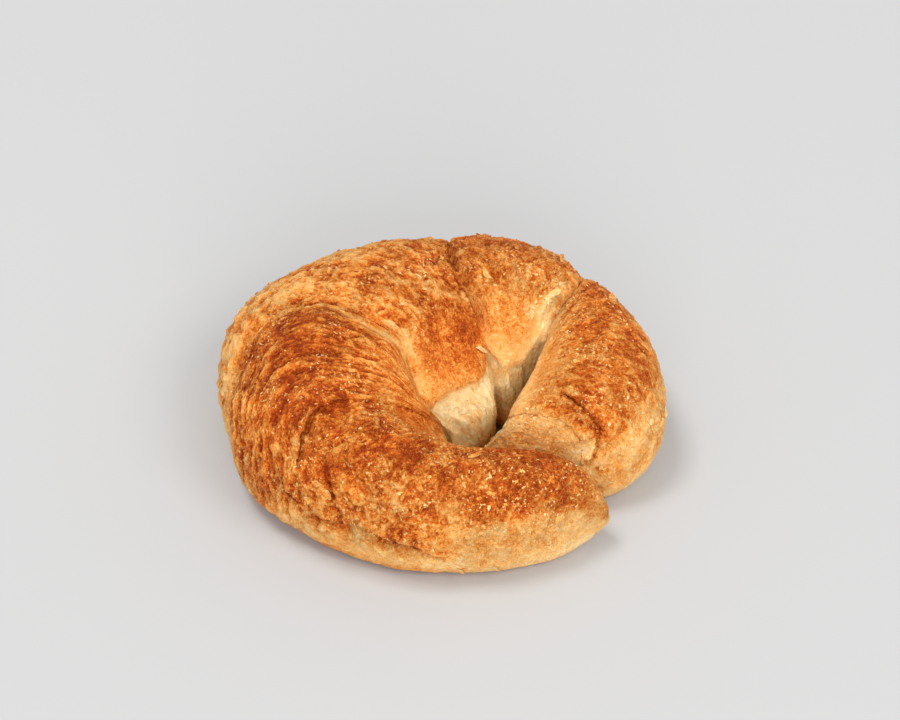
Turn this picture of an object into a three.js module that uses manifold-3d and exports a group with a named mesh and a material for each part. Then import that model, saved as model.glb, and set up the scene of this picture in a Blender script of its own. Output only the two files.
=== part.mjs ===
// A croissant: one sheet of laminated dough, rolled up, curled almost shut and baked in one piece.
// Millimetres, +Z up. The origin is the middle of its footprint, on the surface that it lies on.
//
// The roll is a closed skin of sections. Its share runs from 0 at the front tip, round the thick
// belly, to 1 at the rear tip, which tucks in behind the front arm. Its angle runs round a section:
// 0 on the outer side of the curl, 90 degrees on the crest, 180 on the inner side and 270 below.

import * as THREE from 'three';
import { mergeVertices } from 'three/addons/utils/BufferGeometryUtils.js';
import Module from 'manifold-3d';

// Sections at even shares of the roll: its outer and inner edges in plan, its height, where its
// crest lies between the edges (0 outer, 1 inner), and how full its inner shoulder is (2 is round).
const SECTIONS = [
  { outer: [47.5, -46.5], inner: [56.5, -37], height: 25, crest: 0.5, shoulder: 2.2 },
  { outer: [30.5, -54], inner: [35.5, -30], height: 34, crest: 0.5, shoulder: 2.2 },
  { outer: [9.5, -59], inner: [16.5, -28], height: 38, crest: 0.5, shoulder: 2.2 },
  { outer: [-16.5, -57], inner: [4.5, -26], height: 42, crest: 0.49, shoulder: 2.1 },
  { outer: [-47, -42.5], inner: [2, -22], height: 46, crest: 0.46, shoulder: 1.9 },
  { outer: [-66, -16], inner: [6.5, -17.5], height: 50, crest: 0.44, shoulder: 1.7 },
  { outer: [-67, 19], inner: [13, -12], height: 51.5, crest: 0.43, shoulder: 1.6 },
  { outer: [-44.5, 42.5], inner: [17.5, -8], height: 51, crest: 0.43, shoulder: 1.6 },
  { outer: [-13.5, 55.5], inner: [20.5, -3.5], height: 49.5, crest: 0.44, shoulder: 1.7 },
  { outer: [18.5, 57], inner: [23.5, 3], height: 47, crest: 0.47, shoulder: 1.9 },
  { outer: [50, 43], inner: [28, 7], height: 44, crest: 0.5, shoulder: 2.1 },
  { outer: [67, 14.5], inner: [28.5, 1], height: 43, crest: 0.5, shoulder: 2.2 },
  { outer: [68, -13], inner: [23.5, -8.5], height: 41, crest: 0.5, shoulder: 2.2 },
  { outer: [48, -28.5], inner: [15.5, -16], height: 32, crest: 0.5, shoulder: 2.2 },
  { outer: [8.5, -24.5], inner: [7.5, -17.5], height: 18, crest: 0.5, shoulder: 2.2 },
];

// Folds, where one turn of dough ends on the turn below it. The share where the fold crosses the
// crest, how far it drifts by the outer and the inner side, and which way the thicker turn lies
// (1 towards the rear tip, -1 towards the front tip), with the height of its lip in millimetres.
const FOLDS = [
  { share: 20 / 120, outerDrift: 0, innerDrift: 0.02, over: 1, lip: 0.8 },
  { share: 38 / 120, outerDrift: -0.11, innerDrift: 0, over: 1, lip: 1.5 },
  { share: 54 / 120, outerDrift: -0.09, innerDrift: -0.12, over: 1, lip: 0.9 },
  { share: 70 / 120, outerDrift: 0.03, innerDrift: -0.02, over: -1, lip: 1.9 },
  { share: 86 / 120, outerDrift: -0.01, innerDrift: 0.02, over: -1, lip: 1.4 },
  { share: 110 / 120, outerDrift: 0.02, innerDrift: 0, over: -1, lip: 1.2 },
];

const ROWS = 120; // sections from tip to tip, so that each fold lies on one
const COLUMNS = 34; // points round a section
const TIP_SHARE = 0.065; // share of the roll over which each tip rounds off
const WAIST = 0.42; // height of a section's widest place, as a share of its height
const TOP_FULLNESS = 2.2; // 2 is a round top, more is squarer
const BASE_FULLNESS = 3.2; // the base is squarer than the top
const SINK = 1.6; // how far the sagging base would reach below the surface that flattens it
const DIP_DEPTH = 0.8; // depth of the dip beside a fold, as a share of its lip
const FOLD_REACH = 0.035; // share of the roll over which a lip and its dip fade out
const MEAN_RADIUS = 22; // of a section, to turn a lip's height into growth

const DEGREES = Math.PI / 180;

// The edges are curves in plan. Each curve's third number carries another of the section's sizes.
const curveThrough = (pick) => new THREE.CatmullRomCurve3(SECTIONS.map(pick), false, 'catmullrom', 0.5);
const outerEdge = curveThrough(({ outer, height }) => new THREE.Vector3(...outer, height));
const innerEdge = curveThrough(({ inner, crest }) => new THREE.Vector3(...inner, crest));
const shoulders = curveThrough(({ shoulder }) => new THREE.Vector3(shoulder, 0, 0));

/** How far a fold has drifted along the roll at an angle of the section. */
function drift(fold, angle) {
  const fromOutside = Math.acos(Math.cos(angle)) / DEGREES;
  const outside = 1 - THREE.MathUtils.smoothstep(fromOutside, 10, 90);
  const inside = THREE.MathUtils.smoothstep(fromOutside, 116, 148);
  return fold.outerDrift * outside + fold.innerDrift * inside;
}

/** The share at which a row of the skin crosses an angle: rows run along the folds. */
function driftedShare(share, angle) {
  const knots = [{ share: 0, by: 0 }];
  for (const fold of FOLDS) knots.push({ share: fold.share, by: drift(fold, angle) });
  knots.push({ share: 1, by: 0 });
  const next = knots.findIndex((knot) => knot.share >= share);
  if (next < 1) return share;
  const [low, high] = [knots[next - 1], knots[next]];
  const along = (share - low.share) / (high.share - low.share);
  return share + THREE.MathUtils.lerp(low.by, high.by, along);
}

/** How much a section has grown, as a factor, beside the folds: a lip on one side, a dip on the other. */
function foldGrowth(share, angle) {
  const shown = THREE.MathUtils.smoothstep(Math.sin(angle), -0.5, 0.1);
  let rise = 0;
  for (const { share: place, over, lip } of FOLDS) {
    const past = (share - place) * over;
    const fade = Math.exp(-Math.abs(past) / FOLD_REACH);
    rise += past > 0.5 / ROWS ? lip * fade : -lip * DIP_DEPTH * fade;
  }
  return 1 + (rise * shown) / MEAN_RADIUS;
}

/** How open a section is: 0 at each tip, 1 all along the roll between them. */
function tipOpening(share) {
  const fromTip = Math.min(share, 1 - share) / TIP_SHARE;
  return fromTip < 1 ? Math.sqrt(1 - (1 - fromTip) ** 2) : 1;
}

/** The point of the skin at a share of the roll and an angle of the section. */
function skinPoint(rowShare, angle) {
  const share = driftedShare(rowShare, angle);
  const outer = outerEdge.getPoint(share);
  const inner = innerEdge.getPoint(share);
  const height = outer.z;
  const crest = inner.z;
  const onInside = Math.cos(angle) < 0;
  const shoulder = onInside ? shoulders.getPoint(share).x : TOP_FULLNESS;
  const fullness = Math.sin(angle) < 0 ? BASE_FULLNESS : shoulder;
  const across = Math.abs(Math.cos(angle)) ** (2 / fullness);
  const up = Math.abs(Math.sin(angle)) ** (2 / fullness);

  const side = onInside ? inner : outer;
  const ridge = new THREE.Vector3().lerpVectors(outer, inner, crest);
  const point = ridge.lerp(side, across);
  const waist = WAIST * height;
  point.z = Math.sin(angle) < 0 ? waist - (waist + SINK) * up : waist + (height - waist) * up;

  const middle = new THREE.Vector3().lerpVectors(outer, inner, 0.5).setZ(waist);
  const growth = tipOpening(rowShare) * foldGrowth(rowShare, angle);
  return middle.lerp(point, growth);
}

/** The whole roll as a closed skin, its sagging base still round. */
function rollGeometry() {
  const geometry = new THREE.SphereGeometry(1, COLUMNS, ROWS);
  const position = geometry.attributes.position;
  for (let row = 0; row <= ROWS; row += 1) {
    for (let column = 0; column <= COLUMNS; column += 1) {
      const angle = -2 * Math.PI * (column % COLUMNS) / COLUMNS;
      const { x, y, z } = skinPoint(row / ROWS, angle);
      position.setXYZ(row * (COLUMNS + 1) + column, x, y, z);
    }
  }
  return geometry;
}

const wasm = await Module();
wasm.setup();

/** A closed three.js geometry as a manifold-3d solid. */
function toSolid(geometry) {
  geometry.deleteAttribute('normal');
  geometry.deleteAttribute('uv');
  const merged = mergeVertices(geometry, 1e-4);
  const vertProperties = new Float32Array(merged.attributes.position.array);
  const triVerts = new Uint32Array(merged.index.array);
  return new wasm.Manifold(new wasm.Mesh({ numProp: 3, vertProperties, triVerts }));
}

/** A manifold-3d solid as a three.js geometry. */
function toGeometry(solid) {
  const { vertProperties, triVerts } = solid.getMesh();
  const geometry = new THREE.BufferGeometry();
  geometry.setAttribute('position', new THREE.BufferAttribute(vertProperties, 3));
  geometry.setIndex(new THREE.BufferAttribute(triVerts, 1));
  geometry.computeVertexNormals();
  return geometry;
}

/** The roll with its base pressed flat by the surface that it was baked on, centred on its footprint. */
function croissantGeometry() {
  const surface = new THREE.BoxGeometry(400, 400, 20).translate(0, 0, -10);
  const geometry = toGeometry(toSolid(rollGeometry()).subtract(toSolid(surface)));
  geometry.computeBoundingBox();
  const middle = geometry.boundingBox.getCenter(new THREE.Vector3());
  return geometry.translate(-middle.x, -middle.y, 0);
}

const crust = new THREE.MeshStandardMaterial({ color: '#d9863f', roughness: 0.6, metalness: 0 });
const croissant = new THREE.Mesh(croissantGeometry(), crust);
croissant.name = 'croissant';

const group = new THREE.Group();
group.add(croissant);

export default group;
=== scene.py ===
"""A curled croissant with a flaky, egg-washed crust, lying on a plain pale floor."""

import logging
import math
from collections.abc import Callable
from dataclasses import dataclass, field
from enum import Enum

import bmesh
import bpy
import numpy as np
from mathutils import Matrix, Vector, kdtree


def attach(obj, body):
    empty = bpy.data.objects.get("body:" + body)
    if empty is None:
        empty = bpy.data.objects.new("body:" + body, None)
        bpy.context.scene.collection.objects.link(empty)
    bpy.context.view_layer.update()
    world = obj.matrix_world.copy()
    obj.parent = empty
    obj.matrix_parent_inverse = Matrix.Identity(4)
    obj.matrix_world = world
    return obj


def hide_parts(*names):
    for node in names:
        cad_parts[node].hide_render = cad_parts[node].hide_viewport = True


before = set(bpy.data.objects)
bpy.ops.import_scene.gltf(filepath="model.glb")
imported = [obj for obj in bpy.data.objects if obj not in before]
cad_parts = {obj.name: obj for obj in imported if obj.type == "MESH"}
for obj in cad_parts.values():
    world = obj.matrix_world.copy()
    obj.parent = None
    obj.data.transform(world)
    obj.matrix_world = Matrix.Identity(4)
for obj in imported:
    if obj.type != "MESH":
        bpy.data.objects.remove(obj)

LOG = logging.getLogger("croissant")
NODE = "croissant"
BODY = "root"
MM = 0.001  # the roll is worked out in millimetres, and meshes are in metres

# Where each turn of dough ends, as a share of the roll's length from the front tip.
TIP_END, ARM_END, SHOULDER_END, BELLY_END, REAR_SHOULDER_END, REAR_ARM_END = (
    step / 120 for step in (20, 38, 54, 70, 86, 110)
)

Colour = tuple[float, float, float, float]
Stops = tuple[tuple[float, Colour], ...]
Triple = tuple[float, float, float]
Socket = bpy.types.NodeSocket


def linear(red: int, green: int, blue: int) -> Colour:
    """A display colour, 0 to 255 a channel, as the linear colour that a shader takes."""
    shares = [channel / 255 for channel in (red, green, blue)]
    curve = [s / 12.92 if s <= 0.04045 else ((s + 0.055) / 1.055) ** 2.4 for s in shares]
    return (*curve, 1.0)


def smooth(value: np.ndarray, low: float, high: float) -> np.ndarray:
    """A smooth step from 0 at low to 1 at high, which may be the lower of the two."""
    share = np.clip((value - low) / (high - low), 0.0, 1.0)
    return share * share * (3 - 2 * share)


def bell(away: np.ndarray, width: float | np.ndarray) -> np.ndarray:
    """A bell curve, from 1 where away is 0 down to 0 a few widths off."""
    return np.exp(-((away / width) ** 2))


def off_outside(angle: np.ndarray) -> np.ndarray:
    """Degrees from the outer side of the curl, either way round."""
    return np.degrees(np.arccos(np.cos(angle)))


def nearest_of(points: list[np.ndarray]) -> kdtree.KDTree:
    """A tree that finds the nearest of the given points, by its place in their list."""
    tree = kdtree.KDTree(len(points))
    for number, point in enumerate(points):
        tree.insert(point, number)
    tree.balance()
    return tree


def meshed(name: str, shape: bmesh.types.BMesh) -> bpy.types.Mesh:
    """A new mesh of the given shape, which is used up."""
    mesh = bpy.data.meshes.new(name)
    shape.to_mesh(mesh)
    shape.free()
    return mesh


def linked(name: str, data: bpy.types.ID) -> bpy.types.Object:
    """A new object of a mesh, light or camera, in the scene."""
    piece = bpy.data.objects.new(name, data)
    bpy.context.scene.collection.objects.link(piece)
    return piece


class Over(Enum):
    """Which way the thicker turn lies from a fold, and so which turn overlaps the other."""

    REAR = 1
    FRONT = -1


class Layer(Enum):
    """Names of the values that the crust's mesh carries for its materials."""

    # bake holds the browning together with painted shade in the grooves, in the hollows of the fine
    # relief and deep inside the curl.
    BAKE = "bake"
    CRUMB = "crumb"
    ROLL = "roll"
    ROUGH = "rough"
    LAYERED = "layered"


@dataclass(frozen=True)
class Grain:
    """Seeded smooth noise in three dimensions, the same on every run."""

    seed: int

    def _corner(self, cell: tuple[np.ndarray, ...], offset: tuple[np.ndarray, ...]) -> np.ndarray:
        """The pull of one lattice corner's gradient at an offset from it."""
        x, y, z = (part.astype(np.int64).astype(np.uint32) for part in cell)
        code = x * np.uint32(374761393) + y * np.uint32(668265263) + z * np.uint32(2246822519)
        code = code + np.uint32(self.seed * 40503 + 12345)
        code = (code ^ (code >> np.uint32(13))) * np.uint32(1274126177)
        code = (code ^ (code >> np.uint32(16))) * np.uint32(2654435769)
        code = code ^ (code >> np.uint32(15))
        pulls = [(code >> np.uint32(shift)) & np.uint32(1023) for shift in (0, 10, 20)]
        return sum((pull / 511.5 - 1) * part for pull, part in zip(pulls, offset))

    def at(self, points: np.ndarray, size: float | Triple) -> np.ndarray:
        """Smooth noise.

        Args:
            points: Places in millimetres, the last axis being x, y and z.
            size: How far apart its bumps are, in millimetres, all ways or along each axis.

        Returns:
            Values from about -1 to 1, one for each place.
        """
        spread = points / np.asarray(size, dtype=float)
        low = np.floor(spread)
        part = spread - low
        ease = part * part * part * (part * (part * 6 - 15) + 10)
        total = np.zeros(points.shape[:-1])
        for corner in np.ndindex(2, 2, 2):
            weight = np.ones_like(total)
            for axis, step in enumerate(corner):
                weight = weight * (ease[..., axis] if step else 1 - ease[..., axis])
            cell = tuple(low[..., axis] + corner[axis] for axis in range(3))
            offset = tuple(part[..., axis] - corner[axis] for axis in range(3))
            total += weight * self._corner(cell, offset)
        return total * 1.3

    def _octaves(self, points: np.ndarray, size: float | Triple, octaves: int, fall: float,
                 shift: float, shape: Callable[[np.ndarray], np.ndarray]) -> np.ndarray:
        """The average of a shaped noise over sizes that halve.

        Args:
            points: Places in millimetres.
            size: Size of the largest bumps.
            octaves: How many sizes are added.
            fall: Strength of each size, as a share of the one before.
            shift: How far each size's noise is moved from the one before.
            shape: What is made of each size's noise.

        Returns:
            The average, weighted by strength.
        """
        total = np.zeros(points.shape[:-1])
        strength, reach = 1.0, 0.0
        for octave in range(octaves):
            noise = self.at(points + shift * octave, np.asarray(size, dtype=float) / 2**octave)
            total += strength * shape(noise)
            reach += strength
            strength *= fall
        return total / reach

    def layered(self, points: np.ndarray, size: float | Triple, octaves: int = 3,
                fall: float = 0.5) -> np.ndarray:
        """Noise over noise of half its size, from about -1 to 1."""
        return self._octaves(points, size, octaves, fall, 17.3, lambda noise: noise) * 1.25

    def creased(self, points: np.ndarray, size: float | Triple, octaves: int) -> np.ndarray:
        """Sharp crests between rounded hollows, from 0 to 1."""
        def crests(noise: np.ndarray) -> np.ndarray:
            """High where the noise is near its middle."""
            return np.clip(1 - np.abs(noise) * 2, 0, 1) ** 2

        return self._octaves(points, size, octaves, 0.5, 31.7, crests)


@dataclass(frozen=True)
class Section:
    """One section of the roll, in millimetres."""

    outer: tuple[float, float]
    inner: tuple[float, float]
    height: float
    crest: float
    shoulder: float


@dataclass(frozen=True)
class Fold:
    """Where one turn of dough ends on the turn below it."""

    share: float
    outer_drift: float
    inner_drift: float
    over: Over
    lip: float
    tuck: float
    pale: float
    valley: float
    reach: float
    lowest: float = -30.0
    highest: float = 400.0


@dataclass(frozen=True)
class Crease:
    """A line pressed or torn into the crust, as a path of shares and degrees round the section."""

    path: tuple[tuple[float, float], ...]
    depth: float
    width: float
    step: float
    # Above zero this darkens the groove as painted shade; below zero it pales the crust.
    dark: float


@dataclass(frozen=True)
class Turn:
    """How one turn of dough between two folds has baked."""

    name: str
    until: float
    puff: float
    ridges: float
    crumple: float
    bake: float
    side: float
    inside: float
    blend: float


@dataclass
class Roll:
    """The rolled dough as a smooth skin.

    A share runs from 0 at the front tip to 1 at the rear tip. An angle runs round a section:
    0 on the outer side of the curl, a quarter turn on the crest and a half turn on the inner side.
    """

    sections: tuple[Section, ...] = (
        Section((47.5, -46.5), (56.5, -37), 25, 0.5, 2.2),
        Section((30.5, -54), (35.5, -30), 34, 0.5, 2.2),
        Section((9.5, -59), (16.5, -28), 38, 0.5, 2.0),
        Section((-16.5, -57), (4.5, -26), 42, 0.48, 1.75),
        Section((-47, -42.5), (2, -22), 46, 0.45, 1.65),
        Section((-66, -16), (6.5, -17.5), 50, 0.44, 1.7),
        Section((-67, 19), (13, -12), 51.5, 0.43, 1.6),
        Section((-44.5, 42.5), (17.5, -8), 51, 0.43, 1.6),
        Section((-13.5, 55.5), (20.5, -3.5), 49.5, 0.44, 1.7),
        Section((18.5, 57), (23.5, 3), 47, 0.47, 1.9),
        Section((50, 43), (28, 7), 44, 0.5, 2.1),
        Section((67, 14.5), (28.5, 1), 43, 0.5, 2.2),
        Section((68, -13), (23.5, -8.5), 41, 0.5, 2.2),
        Section((48, -28.5), (15.5, -16), 32, 0.5, 2.2),
        Section((8.5, -24.5), (7.5, -17.5), 18, 0.5, 2.2),
    )
    folds: tuple[Fold, ...] = (
        Fold(TIP_END, 0.0, 0.02, Over.REAR, 0.05, 0.0, 0.1, 0.2, 6.0),
        Fold(ARM_END, -0.04, 0.0, Over.REAR, 1.3, 1.1, 0.0, 0.2, 1.5, 24.0, 84.0),
        Fold(SHOULDER_END, -0.09, -0.12, Over.REAR, 0.5, 0.1, 0.6, 1.8, 6.0),
        Fold(BELLY_END, 0.03, -0.02, Over.FRONT, 0.0, 0.0, 0.25, 1.2, 5.0),
        Fold(REAR_SHOULDER_END, -0.01, 0.02, Over.FRONT, 0.0, 0.0, 0.8, 1.6, 6.0),
        Fold(REAR_ARM_END, 0.02, 0.0, Over.FRONT, 0.3, 0.3, 0.2, 0.3, 4.0),
    )
    length: float = 268.0
    waist: float = 0.42
    top_fullness: float = 2.2
    base_fullness: float = 3.2
    sink: float = 1.6
    tip_share: float = 0.065
    mean_radius: float = 22.0

    def _table(self) -> np.ndarray:
        """The sections as rows of numbers, with one more beyond each end."""
        rows = [(*s.outer, *s.inner, s.height, s.crest, s.shoulder) for s in self.sections]
        table = np.array(rows, dtype=float)
        first = 2 * table[0] - table[1]
        last = 2 * table[-1] - table[-2]
        return np.vstack([first, table, last])

    def sizes(self, share: np.ndarray) -> np.ndarray:
        """Outer x and y, inner x and y, height, crest and shoulder, on curves through the sections."""
        table = self._table()
        spans = len(self.sections) - 1
        place = np.clip(share, 0, 1) * spans
        start = np.minimum(np.floor(place).astype(int), spans - 1)
        along = (place - start)[..., None]
        before, low, high, after = (table[start + step] for step in range(4))
        return 0.5 * (
            2 * low
            + (high - before) * along
            + (2 * before - 5 * low + 4 * high - after) * along**2
            + (3 * low - before - 3 * high + after) * along**3
        )

    def drift(self, fold: Fold, angle: np.ndarray) -> np.ndarray:
        """How far a fold has drifted along the roll, as a share, at each angle."""
        from_outside = off_outside(angle)
        outside = 1 - smooth(from_outside, 10, 90)
        inside = smooth(from_outside, 116, 148)
        return fold.outer_drift * outside + fold.inner_drift * inside

    def drifted(self, row: np.ndarray, angle: np.ndarray) -> np.ndarray:
        """The share at which a row crosses an angle, since rows run along the folds."""
        knots = np.array([0.0, *(fold.share for fold in self.folds), 1.0])
        flat = np.zeros_like(angle)
        drifts = [flat, *(self.drift(fold, angle) for fold in self.folds), flat]
        share = row.copy()
        for place in range(len(knots) - 1):
            low, high = knots[place], knots[place + 1]
            inside = (row >= low) & ((row < high) | (place == len(knots) - 2))
            along = np.clip((row - low) / (high - low), 0, 1)
            moved = row + (1 - along) * drifts[place] + along * drifts[place + 1]
            share = np.where(inside, moved, share)
        return share

    def opening(self, row: np.ndarray) -> np.ndarray:
        """How open the section is: 0 at each tip, 1 between them."""
        from_tip = np.clip(np.minimum(row, 1 - row) / self.tip_share, 0, 1)
        return np.sqrt(1 - (1 - from_tip) ** 2)

    def skin(self, row: np.ndarray, angle: np.ndarray, slide: np.ndarray | float = 0.0,
             closing: np.ndarray | float = 1.0) -> np.ndarray:
        """Points of the smooth skin.

        Args:
            row: Share of the row that each point is on.
            angle: Angle of each point round its section, in radians.
            slide: How far each point is slid along the roll, as a share.
            closing: How far each section is drawn in, from 1, full, to 0, a point.

        Returns:
            Places in millimetres, with x, y and z on a new last axis.
        """
        share = self.drifted(row, angle) + slide
        sizes = self.sizes(share)
        outer, inner = sizes[..., 0:2], sizes[..., 2:4]
        height, crest, shoulder = sizes[..., 4], sizes[..., 5], sizes[..., 6]
        inward, below = np.cos(angle) < 0, np.sin(angle) < 0
        fullness = np.where(inward, shoulder, self.top_fullness)
        fullness = np.where(below, self.base_fullness, fullness)
        across = np.abs(np.cos(angle)) ** (2 / fullness)
        up = np.abs(np.sin(angle)) ** (2 / fullness)
        ridge = outer + (inner - outer) * crest[..., None]
        side = np.where(inward[..., None], inner, outer)
        plan = ridge + (side - ridge) * across[..., None]
        waist = self.waist * height
        rise = np.where(below, waist - (waist + self.sink) * up, waist + (height - waist) * up)
        point = np.concatenate([plan, rise[..., None]], axis=-1)
        middle = np.concatenate([(outer + inner) / 2, waist[..., None]], axis=-1)
        return middle + (point - middle) * (self.opening(row) * closing)[..., None]

    def straight(self, row: np.ndarray, angle: np.ndarray) -> np.ndarray:
        """The same points with the roll pulled straight, so that a pattern can follow the turns."""
        along = row * self.length
        return np.stack(
            [along, self.mean_radius * np.cos(angle), self.mean_radius * np.sin(angle)], axis=-1
        )


@dataclass(frozen=True)
class Stretch:
    """A run of the roll, from one share to another, that is one closed piece."""

    name: str
    start: float
    end: float
    rows: int
    columns: int


@dataclass
class Patch:
    """Where a stretch's points lie, each value being a table of rows and columns."""

    nominal: np.ndarray
    closing: np.ndarray
    row: np.ndarray
    angle: np.ndarray
    share: np.ndarray
    flat: np.ndarray
    place: np.ndarray
    height: np.ndarray

    @property
    def from_outside(self) -> np.ndarray:
        """Degrees from the outer side, either way round."""
        return off_outside(self.angle)

    @property
    def lift(self) -> np.ndarray:
        """Height over the floor in millimetres."""
        return self.place[..., 2]


@dataclass
class Surface:
    """The finished surface of one stretch, for the loose flakes to lie on."""

    patch: Patch
    place: np.ndarray
    normal: np.ndarray
    rough: np.ndarray
    bake: np.ndarray


@dataclass
class Crust:
    """The whole baked roll, with its folds, ridges, blisters and browning."""

    roll: Roll
    surfaces: list[Surface] = field(default_factory=list)
    stretches: tuple[Stretch, ...] = (
        Stretch("front_and_belly", 0.0, BELLY_END, 420, 228),
        Stretch("rear_shoulder", BELLY_END, REAR_SHOULDER_END, 190, 228),
        Stretch("rear_arm", REAR_SHOULDER_END, 1.0, 300, 200),
    )
    turns: tuple[Turn, ...] = (
        Turn("front_tip", TIP_END, 0.6, 0.25, 0.40, 0.96, 1.05, 0.10, 0.030),
        Turn("front_arm", ARM_END, 0.4, 0.35, 0.85, 0.96, 0.36, 0.22, 0.006),
        Turn("front_shoulder", SHOULDER_END, 1.2, 1.0, 0.70, 1.02, 0.16, 0.34, 0.020),
        Turn("belly", BELLY_END, 1.6, 0.55, 1.10, 0.80, 0.10, 0.0, 0.006),
        Turn("rear_shoulder", REAR_SHOULDER_END, 1.6, 0.35, 0.75, 0.84, 0.38, 0.26, 0.006),
        Turn("rear_arm", REAR_ARM_END, 1.2, 0.45, 0.55, 0.85, 0.98, 0.26, 0.015),
        Turn("rear_tip", 1.0, 0.4, 0.3, 0.3, 0.54, 0.5, 0.15, 0.006),
    )
    creases: tuple[Crease, ...] = (
        Crease(((0.284, 10), (0.278, 1), (0.262, 1), (0.243, 1), (0.235, 4), (0.214, 0),
                (0.194, -1), (0.172, -8)), 2.3, 1.0, -1.5, 0.42),
        Crease(((0.285, -14), (0.25, -16), (0.21, -16), (0.18, -20)), 0.0, 4.5, 0.0, -0.20),
        Crease(((0.274, 54), (0.262, 38), (0.256, 28), (0.25, 16), (0.244, 4)),
               1.0, 0.6, 0.5, 0.20),
        Crease(((0.885, 96), (0.898, 74), (0.909, 52), (0.922, 32), (0.93, 18)),
               1.5, 0.55, 0.7, 0.22),
        Crease(((0.923, 43), (0.927, 37)), 1.5, 2.2, 0.0, -0.35),
        Crease(((0.442, 90), (0.438, 98), (0.433, 110), (0.431, 117)), 0.2, 1.6, 0.3, -0.42),
        Crease(((0.300, 58), (0.296, 46), (0.290, 34), (0.284, 24)), 0.3, 1.5, 0.5, -0.16),
    )
    wall_top: tuple[tuple[float, float], ...] = (
        (0.30, 22.0), (0.33, 34.0), (0.365, 36.0), (0.42, 34.2), (0.48, 32.6), (0.53, 33.4),
        (0.562, 35.5), (0.60, 30.6), (0.66, 28.6), (0.70, 30.0), (0.72, 35.0), (0.76, 33.0),
        (0.85, 30.0), (1.0, 26.0),
    )
    cap: float = 8.0
    lip_gap: float = 2.6
    tuck_gap: float = 4.4
    low_shift: float = 2.0
    cap_rows: int = 24
    fold_reach: float = 9.0
    ridge_gap: float = 4.4
    passing: tuple[float, float] = (0.3, 0.78)
    clear: float = 50.0
    room_taken: float = 0.35
    sole_softness: float = 0.3
    sole_press: float = 0.05
    seed: int = 11

    def grain(self, number: int) -> Grain:
        """One of the crust's seeded noises."""
        return Grain(self.seed + number)

    def gap(self, fold: Fold, front_side: bool) -> float:
        """How far before a fold the turn on one side of it starts to close, in millimetres."""
        on_top = (fold.over is Over.FRONT) == front_side
        return self.lip_gap if on_top else self.tuck_gap

    def rows_of(self, stretch: Stretch) -> tuple[np.ndarray, np.ndarray]:
        """The rows of a stretch.

        Args:
            stretch: The stretch.

        Returns:
            The share of each row, and how open it is, from 1 on the roll to 0 inside its end.
        """
        length = self.roll.length
        folds = {fold.share: fold for fold in self.roll.folds}
        turned = (np.arange(self.cap_rows) + 1.0) / self.cap_rows
        turned = 0.5 * math.pi * turned**1.4
        start, end = stretch.start, stretch.end
        before, after = np.empty(0), np.empty(0)
        if start > 0:
            start += self.gap(folds[stretch.start], False) / length
            before = (start - self.cap / length * np.sin(turned))[::-1]
        if end < 1:
            end -= self.gap(folds[stretch.end], True) / length
            after = end + self.cap / length * np.sin(turned)
        fine = np.linspace(start, end, 8001)
        density = np.ones_like(fine)
        for fold in self.roll.folds:
            density += 2.2 * bell(fine - fold.share, 0.006)
        for tip in (0.0, 1.0):
            density += 1.5 * bell(fine - tip, 0.02)
        total = np.concatenate([[0], np.cumsum((density[1:] + density[:-1]) / 2)])
        count = stretch.rows + 1 - len(before) - len(after)
        body = np.interp(np.linspace(0, total[-1], count), total, fine)
        closed = np.cos(turned)
        closing = np.concatenate([closed[::-1][: len(before)], np.ones(count),
                                  closed[: len(after)]])
        return np.concatenate([before, body, after]), closing

    def column_angles(self, row: np.ndarray, columns: int) -> np.ndarray:
        """Angles that space the columns evenly round each row, a little wider under the base."""
        dense = np.linspace(-math.pi / 2, 1.5 * math.pi, 721)
        grid_row, grid_angle = np.meshgrid(row, dense, indexing="ij")
        points = self.roll.skin(grid_row, grid_angle)
        step = np.linalg.norm(np.diff(points, axis=1), axis=-1)
        sole = smooth((points[:, 1:, 2] + points[:, :-1, 2]) / 2, 3.0, 0.0)
        step = step * (1 - 0.75 * sole) + 1e-5
        total = np.concatenate([np.zeros((len(row), 1)), np.cumsum(step, axis=1)], axis=1)
        angles = np.empty((len(row), columns))
        for index, lengths in enumerate(total):
            wanted = np.arange(columns) / columns * lengths[-1]
            angles[index] = np.interp(wanted, lengths, dense)
        return angles

    def true_row(self, nominal: np.ndarray, angle: np.ndarray) -> np.ndarray:
        """Rows moved so that a millimetre beside a fold is the same at every angle.

        Args:
            nominal: Share of each point's row, as if the roll were straight.
            angle: Angle of each point.

        Returns:
            The share that each point really takes.
        """
        row = nominal.copy()
        step = 0.002
        for fold in self.roll.folds:
            ahead = self.roll.skin(np.full_like(angle, fold.share + step), angle)
            behind = self.roll.skin(np.full_like(angle, fold.share - step), angle)
            spread = np.linalg.norm(ahead - behind, axis=-1) / (2 * step)
            scale = np.clip(self.roll.length / spread, 0.5, 2.1)
            away = (nominal - fold.share) * self.roll.length
            near = bell(away, self.fold_reach)
            row += away * (scale - 1) * near / self.roll.length
        return row

    def lay_out(self, stretch: Stretch) -> Patch:
        """Where the points of a stretch lie on the smooth skin.

        Args:
            stretch: The stretch.

        Returns:
            The stretch's patch.
        """
        shares, closing = self.rows_of(stretch)
        angle = self.column_angles(shares, stretch.columns)
        nominal = np.repeat(shares[:, None], stretch.columns, axis=1)
        closing = np.repeat(closing[:, None], stretch.columns, axis=1)
        row = self.true_row(nominal, angle)
        low = 1 - smooth(off_outside(angle), 20, 75)
        for end, toward in ((stretch.start, -1.0), (stretch.end, 1.0)):
            if 0 < end < 1:
                past = (nominal - end) * toward * self.roll.length + self.lip_gap
                window = np.where(past > 0, 1.0, bell(past, self.fold_reach))
                row += toward * self.low_shift * low * window / self.roll.length
        share = self.roll.drifted(row, angle)
        height = self.roll.sizes(share)[..., 4] * np.maximum(self.roll.opening(row), 0.6)
        place = self.roll.skin(row, angle, closing=closing)
        return Patch(nominal, closing, row, angle, share, self.roll.straight(row, angle), place,
                     height)

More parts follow.
